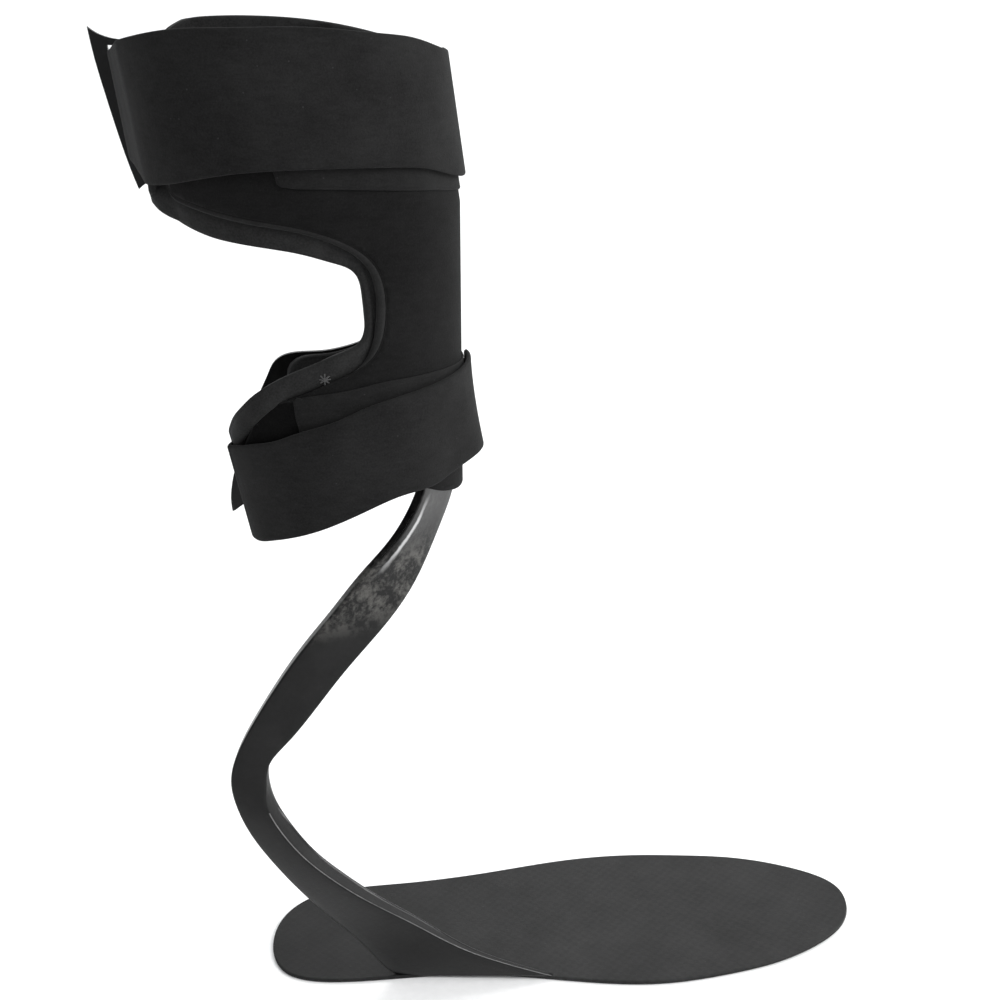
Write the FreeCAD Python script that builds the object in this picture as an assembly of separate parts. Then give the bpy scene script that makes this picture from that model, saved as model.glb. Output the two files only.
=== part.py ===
import FreeCAD, Part
import math
import os

# Ankle foot orthosis for a right foot, in millimetres.
# The origin is the centre of the heel seat on the floor.
# +X points to the toes, +Y to the medial side and +Z up the shin.
# A carbon footplate rises at its outer edge into a strut that passes behind the ankle,
# twists forward up the outer side and ends in a shell over the front of the shin.
# Two straps close the open back of the shell.

Vec = FreeCAD.Vector

# ---- driving dimensions ----
HEEL_X = -31.0            # back of the footplate
TOE_X = 229.0             # tip of the footplate
PLATE_T = 1.6             # thickness of the footplate laminate
TOE_BREAK_X = 155.0       # line across the ball of the foot where the plate bends
TOE_SPRING_R = 1700.0     # the plate curls up in front of that line with this radius
TOE_GAP = 0.3             # modelled gap between the heel part and the forefoot part

CUFF_LOW_Z = 190.0        # lowest level of the shin shell
CUFF_TOP_Z = 386.0        # level just above the shin shell
CUFF_FRONT_X = 54.0       # outer face of the shell at the front of the shin
CUFF_LEAN_Z = 322.0       # above this level the front leans back
CUFF_LEAN = 8.8           # how far it leans back at the top
CUFF_REAR_LOW_X = -23.0   # rear of the shell's oval, at the bottom
CUFF_REAR_GAIN = 38.0     # how much further back the oval reaches at the top
CUFF_HALF_LOW = 35.5      # half width of the shell, at the bottom
CUFF_HALF_GAIN = 14.5     # how much wider it is at the top
WING_TOE_IN = 0.04        # how much the medial wing's tail closes in towards its end

SHELL_T = 2.0             # carbon shell
COVER_T = 0.8             # loop fabric on the outside of the shell
PATCH_T = 0.8             # hook patches between shell and liner
LINER_T = 4.2             # foam liner
BAND_T = 0.8              # landing bands for the straps
HOOK_T = 0.6              # hook tabs under the strap ends
STRAP_T = 1.8             # straps
STRAP_CLEAR = 0.35        # a closed strap's distance from the band under it

LAYER_GAP = 0.05          # modelled gap between layers that lie on each other
TAIL_CLEAR = 1.0          # how far a strap's tail stands off the cover

LINER_FLANGE = 5.4        # the liner stands this far past the shell's lateral edges
LINER_TURN = 30.0         # and this much further round the lateral side, in degrees
LINER_RISE = 10.0         # the liner ends this far above the shell's lower edge
LINER_STANDS_UP = 3.0     # and this far above its upper edge
LINER_TILT = 4.0          # its edges rise by this much per 100 mm towards the medial side
LATERAL_END = 150.0       # angle round the shell where the lateral wing ends
MEDIAL_END = -172.0       # the same for the medial wing, with its straight tail
HINGE_ANGLE = 140.0       # where the straps fold open
HINGE_GAP = 0.6           # modelled gap at that fold, in degrees round the shell
STRAP_END_ANGLE = -8.0    # the straps end just past the front of the shin
UPPER_TAIL = (-135, -120, -105, -90, -72, -54)    # the straps' tails on the medial wing
LOWER_TAIL = (-120, -105, -90, -72, -54)
UPPER_LEAVES = (165.0, 160.0)  # where a strap's lower and upper edges leave the oval
LOWER_LEAVES = (168.0, 155.0)
UPPER_TAIL_DROP = 4.0     # how far the upper strap's tail sags below its path
CROSSING = (0.25, 0.5, 0.75)   # where the straps' run across the open back is divided
SLOT_WIDTH = 4.0          # strap slots in the medial wing


def smooth_gain(z):
    """0 at the bottom of the cuff and 1 at the top, flattening towards the top."""
    share = min(max((z - CUFF_LOW_Z) / (CUFF_TOP_Z - CUFF_LOW_Z), 0.0), 1.0)
    return 1.0 - (1.0 - share) ** 1.3


def cuff_front(z):
    lean = max(0.0, z - CUFF_LEAN_Z) / (CUFF_TOP_Z - CUFF_LEAN_Z)
    return CUFF_FRONT_X - CUFF_LEAN * lean


def cuff_point(angle, z, off):
    """A point of the cuff, off mm outside the shell's outer face.

    The angle is 0 at the front of the shin and grows round the lateral side.
    Past -90 the medial wing leaves the oval and runs nearly straight back.
    """
    front = cuff_front(z) + off
    rear = CUFF_REAR_LOW_X - CUFF_REAR_GAIN * smooth_gain(z) - off
    half = CUFF_HALF_LOW + CUFF_HALF_GAIN * smooth_gain(z) + off
    middle, reach = (front + rear) / 2, (front - rear) / 2
    if angle < -90:
        past = math.radians(-angle - 90)
        return Vec(middle - reach * past, half * (1 - WING_TOE_IN * past ** 2), z)
    turn = math.radians(angle)
    return Vec(middle + reach * math.cos(turn), -half * math.sin(turn), z)


def spline(points):
    curve = Part.BSplineCurve()
    curve.interpolate([Vec(p) for p in points])
    return curve.toShape()


def span(start, end, count):
    return [start + (end - start) * i / (count - 1) for i in range(count)]


def save(shape, name):
    shape.exportStep(os.path.join("parts", name + ".step"))


# ---- footplate ----
# The outline starts at the middle of the heel and runs forward along the lateral side.
LATERAL_SIDE = [
    (-26, -22), (-12, -30), (14, -31.8), (45, -31.8), (77, -36), (105, -42),
    (135, -45.5), (166, -42), (190, -36), (213, -24.5), (225, -12),
]
MEDIAL_SIDE = [
    (226, 14), (213, 26), (188, 38), (160, 43.5), (132, 46), (100, 44),
    (65, 38), (30, 34), (5, 32.5), (-15, 27), (-27, 14),
]


def plate_outline():
    points = [(HEEL_X, -4)] + LATERAL_SIDE + [(TOE_X, 2.5)] + MEDIAL_SIDE
    curve = Part.BSplineCurve()
    curve.interpolate([Vec(x, y, 0) for x, y in points], True)
    return Part.Face(Part.Wire([curve.toShape()]))


def plate_profile():
    """Side view of the plate: flat, then an arc that lifts the toes."""
    end_x = TOE_X + 10
    top_r = TOE_SPRING_R - PLATE_T

    def on_arc(radius, x):
        run = x - TOE_BREAK_X
        return Vec(x, -60, TOE_SPRING_R - math.sqrt(radius ** 2 - run ** 2))

    middle_x = (TOE_BREAK_X + end_x) / 2
    start_x = HEEL_X - 10
    low_start, top_start = Vec(start_x, -60, 0), Vec(start_x, -60, PLATE_T)
    low_break, top_break = Vec(TOE_BREAK_X, -60, 0), Vec(TOE_BREAK_X, -60, PLATE_T)
    low_end, top_end = on_arc(TOE_SPRING_R, end_x), on_arc(top_r, end_x)
    edges = [
        Part.LineSegment(low_start, low_break).toShape(),
        Part.Arc(low_break, on_arc(TOE_SPRING_R, middle_x), low_end).toShape(),
        Part.LineSegment(low_end, top_end).toShape(),
        Part.Arc(top_end, on_arc(top_r, middle_x), top_break).toShape(),
        Part.LineSegment(top_break, top_start).toShape(),
        Part.LineSegment(top_start, low_start).toShape(),
    ]
    return Part.Face(Part.Wire(edges))


def make_plate():
    slab = plate_profile().extrude(Vec(0, 120, 0))
    column = plate_outline().extrude(Vec(0, 0, 40))
    plate = column.common(slab)
    split = TOE_BREAK_X - TOE_GAP / 2
    rear_box = Part.makeBox(split + 60, 120, 60, Vec(-60, -60, -10))
    front_box = Part.makeBox(120, 120, 60, Vec(split + TOE_GAP, -60, -10))
    return plate.common(rear_box).Solids[0], plate.common(front_box).Solids[0]


# ---- strut ----
# Each station gives the outer face's rear edge, its front edge, and the step from the
# outer face to the inner one.
STRUT = [
    ((39, -28.5, 227), (52, -3, 220), (-2, 3, 0)),
    ((38.3, -31.5, 220), (50.8, -8, 213), (-3, 3.5, 0)),
    ((29.3, -35, 204), (44.3, -14, 197.5), (-2.5, 4.5, 0)),
    ((15, -39, 189.5), (32.8, -24, 177), (-1.5, 5, 0)),
    ((1.8, -42, 175), (17.9, -33, 161), (-0.5, 5.5, 0)),
    ((-10.9, -43.5, 160), (4.2, -39, 147.5), (0, 6, 0)),
    ((-27, -44.5, 136.5), (-14.5, -42.5, 125), (0, 7, -1)),
    ((-36.2, -45, 119.5), (-24, -43.5, 114), (0, 8, -2)),
    ((-39, -45, 108), (-25.4, -45, 106), (1, 8, -3)),
    ((-37.6, -44, 96), (-26, -46, 99), (4, 7, -3.5)),
    ((-33.1, -42, 82), (-22.7, -46, 89), (6, 6, -3.5)),
    ((-24.6, -39.5, 65.5), (-13.9, -45, 74), (6, 6, -2.5)),
    ((-14.1, -37, 49), (-1.9, -44, 60.5), (5.5, 6, -1.5)),
    ((-2.1, -34, 33), (13, -42, 47), (5, 5.5, -1.5)),
    ((9, -32.5, 19), (32, -40, 32.5), (4, 4.5, -1)),
    ((17, -31.5, 7), (53, -39.5, 18), (2.5, 3.5, -1)),
    ((24, -30.5, 0.8), (88, -38.5, 2), (1, 2.5, -0.5)),
]
NECK_STATIONS = (0, 6)     # part of the strut that moves with the shin
SPRING_STATIONS = (6, 10)  # part that bends at the ankle
BASE_STATIONS = (10, 16)   # part that is one with the footplate


def strut_section(station):
    rear, front, inward = (Vec(*p) for p in station)
    return Part.makePolygon([rear, front, front + inward, rear + inward, rear])


def strut_part(first, last):
    return Part.makeLoft([strut_section(s) for s in STRUT[first:last + 1]], True, False)


# ---- shin shell and what lies on it ----
# The side view of the shell. The back edge and the cut-out are seen from the lateral side.
TOP_EDGE = [
    (62, 367), (47, 371), (20, 376.5), (-12, 379.8), (-40, 380), (-56, 378.5), (-68, 377),
    (-76, 378.5), (-82.5, 383),
]
WING_EDGE = [(-82.5, 383), (-78.6, 366), (-75.4, 352), (-71.4, 336), (-67, 322)]
LATERAL_WING = [(-38, 392), (-47, 381), (-56, 373), (-66, 358), (-71, 340)]
CUT_OUT = [
    (-68, 330), (-57, 330.5), (-47, 329.3), (-33, 325.9), (-18, 323), (-3.7, 320.8),
    (10, 316.5), (19, 311), (24, 304.5), (26, 295), (25.3, 283), (21.8, 274.5), (14.5, 268.8),
    (6, 265.2), (-3, 260.8), (-11, 257.8), (-18.4, 254), (-22, 247), (-25.5, 239),
    (-32, 222), (-37, 206), (-38, 191),
]
MEDIAL_CUT_OUT = [
    (-67, 322), (-58, 327), (-40, 328), (-18, 325), (0, 321), (12, 317), (22, 310), (28, 301),
    (31, 290), (31, 278), (27, 268), (20, 262), (10.7, 258.3), (0.5, 256.5), (-10.3, 256.2),
    (-15.5, 255), (-19, 252.5), (-22, 247), (-24.5, 242), (-31, 225), (-37, 209),
    (-39, 200), (-39, 191),
]
# The liner's edge round the lateral cut-out, where it stands past the shell.
FLANGE = [
    (-68, 322), (-54, 321), (-42, 318.5), (-29, 315.4), (-15, 313.6), (-0.6, 311.2),
    (10, 308), (15, 305.5), (17.5, 301.5), (18.8, 294), (19, 285), (17.5, 279.5),
    (14, 276.4), (7.5, 274), (-2, 270), (-13, 264.4), (-22.5, 257), (-28, 250),
    (-30.5, 243), (-29.5, 238), (-27, 232), (-28, 222), (-32, 206), (-34, 191),
]
LOWER_EDGE = [
    (62, 214), (53, 214.5), (48, 216.5), (43.5, 218.5), (39, 221.5), (33, 223.2), (20, 222),
    (10, 217), (0, 212.5), (-12, 207.5), (-26, 199.5), (-39, 191),
]
# The edge of the liner and the cover on the medial side, clear of the strap slots.
MEDIAL_SOFT_EDGE = [
    (-38, 392), (-46, 385.5), (-54, 381.5), (-60, 374), (-60, 362), (-57, 350), (-53, 340),
    (-45, 336), (-37, 334.5), (-16.5, 330),
    (4, 325), (17, 319), (27, 310), (33, 299), (34.5, 288), (33.5, 276), (28, 265.5),
    (20, 261), (10.7, 257.4), (0.5, 255.7), (-8, 255.2), (-13.5, 252.5), (-15.5, 247),
    (-14.5, 238), (-17, 222), (-20.5, 206), (-21, 191),
]


def shifted(points, amount):
    """The same open curve, moved to its right."""
    moved = []
    for i, (x, z) in enumerate(points):
        x0, z0 = points[max(i - 1, 0)]
        x1, z1 = points[min(i + 1, len(points) - 1)]
        length = math.hypot(x1 - x0, z1 - z0)
        moved.append((x + amount * (z1 - z0) / length, z - amount * (x1 - x0) / length))
    return moved


def side_block(runs, y_low, y_high, rise=0.0):
    """A block extruded along Y from a closed side view made of smooth runs. It may rise
    towards the medial side."""
    edges = []
    for i, run in enumerate(runs):
        points = [Vec(x, y_low, z - rise / 2) for x, z in run]
        following = runs[(i + 1) % len(runs)][0]
        corner = Vec(following[0], y_low, following[1] - rise / 2)
        edges.append(spline(points))
        if points[-1].distanceToPoint(corner) > 0.01:
            edges.append(Part.LineSegment(points[-1], corner).toShape())
    return Part.Face(Part.Wire(edges)).extrude(Vec(0, y_high - y_low, rise))


HALF_SPACE = 75.0         # half width of the blocks that trim the cuff


def between_edges(layer, low, high, rise=0.0):
    """The part of a layer between two edges of the side view, each from front to back."""
    far_behind = [(-110, high[-1][1]), (-110, low[-1][1])]
    return layer.common(side_block([high, far_behind, low[::-1]], -HALF_SPACE, HALF_SPACE, rise))


def lateral_trim(cut, growth):
    """The side view of what lies behind the lateral wings, with the wing's edge moved out by
    growth, and in the cut-out."""
    wing = shifted(LATERAL_WING, growth)
    return [[(wing[0][0], 400), wing[0]], wing, cut, FAR_BEHIND]


FAR_BEHIND = [(-130, 150), (-130, 400)]


SHELL_LEVELS = [CUFF_LOW_Z - 2, 225, 262, 300, 322, 354, CUFF_TOP_Z + 2]
ANGLE_STEP = 10.0


def cuff_layer(inner, outer, lateral_end, medial_end):
    """A layer that follows the cuff, between two distances from the shell's outer face."""
    angles = [lateral_end]
    for corner in (-90, medial_end):
        if medial_end <= corner < angles[-1]:
            count = 2 + round((angles[-1] - corner) / ANGLE_STEP)
            angles += span(angles[-1], corner, count)[1:]
    rings = []
    for z in SHELL_LEVELS:
        outside = [cuff_point(a, z, outer) for a in angles]
        inside = [cuff_point(a, z, inner) for a in reversed(angles)]
        rings.append(Part.Wire([
            spline(outside),
            Part.LineSegment(outside[-1], inside[0]).toShape(),
            spline(inside),
            Part.LineSegment(inside[-1], outside[0]).toShape(),
        ]))
    return Part.makeLoft(rings, True, False)


def strap_slot(top, bottom):
    """A slanted slot through the medial wing, between two points of the side view."""
    (x1, z1), (x0, z0) = top, bottom
    half = SLOT_WIDTH / 2
    corners = [(x0 - half, z0), (x0 + half, z0), (x1 + half, z1), (x1 - half, z1)]
    points = [Vec(x, 20, z) for x, z in corners]
    return Part.Face(Part.makePolygon(points + points[:1])).extrude(Vec(0, 60, 0))


UPPER_SLOT = ((-72.5, 375), (-67.5, 333))
LOWER_SLOT = ((-21, 237), (-32.5, 206))


def make_shell():
    shell = cuff_layer(-SHELL_T, 0, LATERAL_END, MEDIAL_END)
    shell = between_edges(shell, LOWER_EDGE, TOP_EDGE)
    shell = shell.cut(side_block(lateral_trim(CUT_OUT, 0.0), -75, 0))
    medial_wing = [(WING_EDGE[0][0], 400)] + WING_EDGE[1:]
    shell = shell.cut(side_block([medial_wing, MEDIAL_CUT_OUT, FAR_BEHIND], 0, 75))
    for slot in (UPPER_SLOT, LOWER_SLOT):
        shell = shell.cut(strap_slot(*slot))
    return shell.Solids[0]


def two_sided_layer(layer, cut, growth):
    """A soft layer of the cuff: its lateral half ends at a cut-out of its own, and its medial
    half leaves a margin of bare carbon."""
    layer = layer.cut(side_block(lateral_trim(cut, growth), -75, 0))
    return layer.cut(side_block([MEDIAL_SOFT_EDGE, FAR_BEHIND], 0, 75)).Solids[0]


def make_liner():
    outer = -SHELL_T - PATCH_T - LAYER_GAP
    layer = cuff_layer(outer - LINER_T, outer, LATERAL_END + LINER_TURN, MEDIAL_END + 24)
    low = [(x, z + LINER_RISE) for x, z in LOWER_EDGE]
    high = [(x, z + LINER_STANDS_UP) for x, z in TOP_EDGE]
    tilt = LINER_TILT * 2 * HALF_SPACE / 100
    return two_sided_layer(between_edges(layer, low, high, tilt), FLANGE, LINER_FLANGE)


def make_cover():
    layer = cuff_layer(LAYER_GAP, COVER_T, LATERAL_END - 1, MEDIAL_END + 24)
    return two_sided_layer(between_edges(layer, LOWER_EDGE, TOP_EDGE), CUT_OUT, 0.0)


def sector(start, end, low, high):
    """A wedge through the cuff's wall between two angles and two levels."""
    middle = (low + high) / 2
    corners = [(start, -15), (start, 8), (end, 8), (end, -15)]
    points = [cuff_point(angle, middle, off) for angle, off in corners]
    for point in points:
        point.z = low
    return Part.Face(Part.makePolygon(points + points[:1])).extrude(Vec(0, 0, high - low))


def make_hook_patches():
    """Hook patches that hold the liner in the shell, as one group."""
    places = [
        (118, 92, 338, 372), (80, 54, 338, 372), (-54, -80, 338, 372), (-92, -118, 338, 372),
        (14, -14, 272, 318), (72, 46, 232, 258), (-46, -72, 232, 258),
    ]
    layer = cuff_layer(-SHELL_T - PATCH_T, -SHELL_T - LAYER_GAP, LATERAL_END, MEDIAL_END)
    patches = []
    for start, end, low, high in places:
        patches.append(layer.common(sector(start, end, low, high)).Solids[0])
    return Part.makeCompound(patches)


# ---- straps ----
# Edges of the straps in the side view, from front to back.
UPPER_LOW = [
    (64, 328), (53.3, 332.8), (41.7, 337.5), (32.4, 339), (15, 339.8), (-2.5, 339.7),
    (-20, 338.5), (-34, 336), (-45.7, 333.1), (-57, 330.5), (-72, 327),
]
UPPER_HIGH = [
    (64, 369), (48, 376), (38, 380), (29, 381.5), (16.5, 382.9), (3, 384), (-15, 384),
    (-28, 383.8), (-40, 383.2), (-52.5, 381.1), (-61, 379), (-76, 375),
]
LOWER_LOW = [
    (66, 231), (54.8, 228), (44, 223), (35.5, 221.8), (29, 221), (21, 218.4), (9, 213),
    (0, 208.8), (-11.7, 203.7), (-19.3, 200), (-26.4, 195.8), (-45, 190),
]
LOWER_HIGH = [
    (66, 267), (56, 264), (40, 261), (28, 259), (16.6, 256), (6.6, 251.7), (-6, 247.5),
    (-16, 243), (-23.4, 240.5), (-32, 236.8), (-45, 232),
]
# Edges of the landing bands.
UPPER_BAND_LOW = [
    (64, 324), (53.5, 327.1), (46.2, 329.4), (32.3, 331.4), (14.6, 333), (-4.3, 333.8),
    (-20, 334),
]
LOWER_BAND_LOW = [(70, 240), (30, 244), (17, 246.5), (-6, 246), (-60, 245)]
LOWER_BAND_HIGH = [
    (70, 263), (54.7, 263.7), (46, 264.6), (30, 264.7), (24, 264.5), (16.8, 263.2),
    (9.8, 262), (2.8, 261), (-4.6, 260), (-20, 259),
]


def height_at(edge, x):
    """The height of a side-view edge at x."""
    for (x1, z1), (x0, z0) in zip(edge, edge[1:]):
        if x0 <= x <= x1:
            return z0 + (z1 - z0) * (x - x0) / (x1 - x0)
    return edge[-1][1] if x < edge[-1][0] else edge[0][1]


BAND_IN = COVER_T + LAYER_GAP
BAND_OUT = COVER_T + BAND_T
HOOK_IN = BAND_OUT + STRAP_CLEAR
STRAP_IN = HOOK_IN + HOOK_T
STRAP_OUT = STRAP_IN + STRAP_T


def make_upper_band():
    layer = cuff_layer(BAND_IN, BAND_OUT, 98, -70)
    high = [(x, z - 6) for x, z in UPPER_HIGH]
    return between_edges(layer, UPPER_BAND_LOW, high).Solids[0]


def make_lower_band():
    layer = cuff_layer(BAND_IN, BAND_OUT, 108, -70)
    return between_edges(layer, LOWER_BAND_LOW, LOWER_BAND_HIGH).Solids[0]


def make_flap(low, high):
    layer = cuff_layer(STRAP_IN, STRAP_OUT, HINGE_ANGLE, STRAP_END_ANGLE)
    return between_edges(layer, low, high).Solids[0]


def make_hook_tab(low, high):
    layer = cuff_layer(HOOK_IN, STRAP_IN - LAYER_GAP, 46, STRAP_END_ANGLE + 1)
    low, high = [(x, z + 2) for x, z in low], [(x, z - 2) for x, z in high]
    return between_edges(layer, low, high).Solids[0]


def mitred(path, thickness):
    """The inner and outer points of an upright strap along a path of corners."""
    pairs = []
    for i in range(1, len(path) - 1):
        before, after = path[i] - path[i - 1], path[i + 1] - path[i]
        first = Vec(-before.y, before.x, 0).normalize()
        second = Vec(-after.y, after.x, 0).normalize()
        middle = (first + second).normalize()
        side = middle * (thickness / 2 / middle.dot(first))
        pairs.append((path[i] - side, path[i] + side))
    return pairs


def edge_points(angles, edge, off):
    """Points along a strap's edge, on the cuff."""
    points = []
    for a in angles:
        z = edge[0][1]
        for _ in range(4):
            z = height_at(edge, cuff_point(a, z, off).x)
        points.append(cuff_point(a, z, off))
    return points


def chain_solid(sections):
    """A solid through a chain of four-cornered sections, with flat triangles between them.
    Opposite sides are split along the same diagonal, so that a twisted run keeps its
    thickness."""
    faces = []

    def add(*corners):
        faces.append(Part.Face(Part.makePolygon(list(corners) + [corners[0]])))

    for one, two in zip(sections, sections[1:]):
        for i, j in ((0, 1), (1, 2), (3, 2), (0, 3)):
            add(one[i], one[j], two[j])
            add(one[i], two[j], two[i])
    for cap in (sections[0], sections[-1]):
        add(cap[0], cap[1], cap[2])
        add(cap[0], cap[2], cap[3])
    solid = Part.Solid(Part.makeShell(faces))
    return solid if solid.Volume > 0 else solid.reversed()


def make_anchor(low, high, slot, leaves_at, tail_angles, tail_drop):
    """The fixed part of a strap: from its fold at the lateral wing across the back, out
    through the slot and forward along the outside of the medial wing to its sewn end. Its
    lower and upper edges leave the oval at the two angles leaves_at."""
    (top_x, top_z), (low_x, low_z) = slot
    middle = (STRAP_IN + STRAP_OUT) / 2
    tail_off = COVER_T + TAIL_CLEAR + STRAP_T / 2
    sides = []
    ends = ((low, low_x, low_z + 1.5), (high, top_x, top_z - 1.5))
    for (edge, slot_x, z), leaves in zip(ends, leaves_at):
        oval = span(HINGE_ANGLE + HINGE_GAP, leaves, 4)
        outer, inner = edge_points(oval, edge, STRAP_OUT), edge_points(oval, edge, STRAP_IN)
        on_oval = edge_points(oval[-2:], edge, middle)
        wing_y = cuff_point(MEDIAL_END + 24, z, tail_off).y
        tail = edge_points(tail_angles, edge, tail_off)
        for point in tail:
            point.z -= tail_drop
        for i, share in enumerate((0.3, 0.6, 0.85)):
            tail[i].z = z + (tail[i].z - z) * share
        inside_wing = Vec(slot_x, wing_y - 14, z)
        crossing = [on_oval[-1] + (inside_wing - on_oval[-1]) * share for share in CROSSING]
        corners = on_oval + crossing + [
            inside_wing,
            Vec(slot_x, wing_y - 1.5, z),
            Vec(slot_x + 1.5, wing_y, z),
        ] + tail
        sides.append(list(zip(inner, outer))[:-1] + mitred(corners, STRAP_T))
    sections = [
        (low_in, low_out, high_out, high_in)
        for (low_in, low_out), (high_in, high_out) in zip(*sides)
    ]
    return chain_solid(sections)


def make_bar_tacks(liner, shell):
    """Two small stitched tacks that hold the liner's flange to the lateral wing."""
    tacks = []
    for angle, z in ((93, 267.8), (152, 237)):
        centre = cuff_point(angle, z, -SHELL_T - PATCH_T - 0.2)
        out = cuff_point(angle, z, 10) - centre
        tack = Part.makeCylinder(1.6, 0.8, centre, out).cut(liner).cut(shell)
        tacks.append(max(tack.Solids, key=lambda s: s.Volume))
    return Part.makeCompound(tacks)


def main():
    os.makedirs("parts", exist_ok=True)
    footplate, forefoot = make_plate()
    shell = make_shell()
    cover = make_cover()
    liner = make_liner()
    neck = strut_part(*NECK_STATIONS).cut(shell).cut(cover)
    neck = max(neck.Solids, key=lambda s: s.Volume)
    over_plate = plate_outline().extrude(Vec(0, 0, 40))
    base = strut_part(*BASE_STATIONS).cut(over_plate)
    base = max(base.Solids, key=lambda s: s.Volume)
    nodes = {
        "footplate": footplate,
        "forefoot_plate": forefoot,
        "strut_base": base,
        "strut_spring": strut_part(*SPRING_STATIONS),
        "strut_neck": neck,
        "anterior_shell": shell,
        "shell_cover": cover,
        "liner_pad": liner,
        "liner_hook_patches": make_hook_patches(),
        "upper_landing_band": make_upper_band(),
        "lower_landing_band": make_lower_band(),
        "upper_strap_anchor": make_anchor(
            UPPER_LOW, UPPER_HIGH, UPPER_SLOT, UPPER_LEAVES, UPPER_TAIL,
            UPPER_TAIL_DROP),
        "upper_strap_flap": make_flap(UPPER_LOW, UPPER_HIGH),
        "upper_hook_tab": make_hook_tab(UPPER_LOW, UPPER_HIGH),
        "lower_strap_anchor": make_anchor(
            LOWER_LOW, LOWER_HIGH, LOWER_SLOT, LOWER_LEAVES, LOWER_TAIL, 0.0),
        "lower_strap_flap": make_flap(LOWER_LOW, LOWER_HIGH),
        "lower_hook_tab": make_hook_tab(LOWER_LOW, LOWER_HIGH),
        "bar_tacks": make_bar_tacks(liner, shell),
    }
    for name, shape in nodes.items():
        save(shape, name)
        box = shape.optimalBoundingBox()
        print("%-20s valid %s  solids %d  volume %9.1f  x %.1f..%.1f  y %.1f..%.1f  z %.1f..%.1f" % (
            name, shape.isValid(), len(shape.Solids), shape.Volume,
            box.XMin, box.XMax, box.YMin, box.YMax, box.ZMin, box.ZMax))


main()
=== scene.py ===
import math

import bmesh
import bpy
import numpy as np
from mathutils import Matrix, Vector


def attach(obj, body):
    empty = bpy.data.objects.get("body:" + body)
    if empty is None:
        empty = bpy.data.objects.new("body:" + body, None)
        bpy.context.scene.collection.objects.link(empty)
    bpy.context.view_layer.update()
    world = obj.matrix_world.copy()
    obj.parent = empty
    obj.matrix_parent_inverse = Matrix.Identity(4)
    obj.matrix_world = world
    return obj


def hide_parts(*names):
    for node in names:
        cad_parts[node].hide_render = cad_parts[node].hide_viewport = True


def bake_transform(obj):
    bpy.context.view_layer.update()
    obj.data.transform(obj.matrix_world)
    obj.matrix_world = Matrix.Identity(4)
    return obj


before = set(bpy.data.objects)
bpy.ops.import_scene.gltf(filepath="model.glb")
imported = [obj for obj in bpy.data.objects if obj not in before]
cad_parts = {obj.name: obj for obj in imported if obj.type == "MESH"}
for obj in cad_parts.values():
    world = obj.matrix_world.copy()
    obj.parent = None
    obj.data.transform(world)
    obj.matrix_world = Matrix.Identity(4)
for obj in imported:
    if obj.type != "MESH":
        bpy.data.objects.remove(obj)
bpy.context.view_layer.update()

# An ankle foot orthosis for a right foot: +X to the toes, +Y medial, +Z up the shin.
# Shapes are worked out in millimetres and scaled once by MM.
MM = 0.001

# ---- the cuff's form, the same as the frame's ----
CUFF_LOW_Z, CUFF_TOP_Z = 190.0, 386.0
CUFF_FRONT_X, CUFF_LEAN_Z, CUFF_LEAN = 54.0, 322.0, 8.8
CUFF_REAR_LOW_X, CUFF_REAR_GAIN = -23.0, 38.0
CUFF_HALF_LOW, CUFF_HALF_GAIN = 35.5, 14.5
WING_TOE_IN = 0.04
LATERAL_END, MEDIAL_END = 150.0, -172.0
HINGE_ANGLE, STRAP_END_ANGLE = 140.0, -8.0

SHELL_T, COVER_T, PATCH_T, LINER_T = 2.0, 0.8, 0.8, 4.2
BAND_T, HOOK_T, STRAP_T = 0.8, 0.6, 1.8
STRAP_CLEAR, TAIL_CLEAR, LAYER_GAP = 0.35, 1.0, 0.05
LINER_RISE, LINER_STANDS_UP = 10.0, 3.0
LINER_TILT = 4.0 / 100    # rise of its edges towards the medial side
LINER_OUT = -SHELL_T - PATCH_T - LAYER_GAP
BAND_OUT = COVER_T + BAND_T
HOOK_IN = BAND_OUT + STRAP_CLEAR
STRAP_IN = HOOK_IN + HOOK_T
STRAP_OUT = STRAP_IN + STRAP_T

TOP_EDGE = [
    (62, 367), (47, 371), (20, 376.5), (-12, 379.8), (-40, 380), (-56, 378.5), (-68, 377),
    (-76, 378.5), (-82.5, 383),
]
CUT_OUT = [
    (-68, 330), (-57, 330.5), (-47, 329.3), (-33, 325.9), (-18, 323), (-3.7, 320.8),
    (10, 316.5), (19, 311), (24, 304.5), (26, 295), (25.3, 283), (21.8, 274.5), (14.5, 268.8),
    (6, 265.2), (-3, 260.8), (-11, 257.8), (-18.4, 254), (-22, 247), (-25.5, 239),
    (-32, 222), (-37, 206), (-38, 191),
]
LOWER_EDGE = [
    (62, 214), (53, 214.5), (48, 216.5), (43.5, 218.5), (39, 221.5), (33, 223.2), (20, 222),
    (10, 217), (0, 212.5), (-12, 207.5), (-26, 199.5), (-39, 191),
]
MEDIAL_SOFT_EDGE = [
    (-38, 392), (-46, 385.5), (-54, 381.5), (-60, 374), (-60, 362), (-57, 350), (-53, 340),
    (-45, 336), (-37, 334.5), (-16.5, 330),
    (4, 325), (17, 319), (27, 310), (33, 299), (34.5, 288), (33.5, 276), (28, 265.5),
    (20, 261), (10.7, 257.4), (0.5, 255.7), (-8, 255.2), (-13.5, 252.5), (-15.5, 247),
    (-14.5, 238), (-17, 222), (-20.5, 206), (-21, 191),
]
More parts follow.
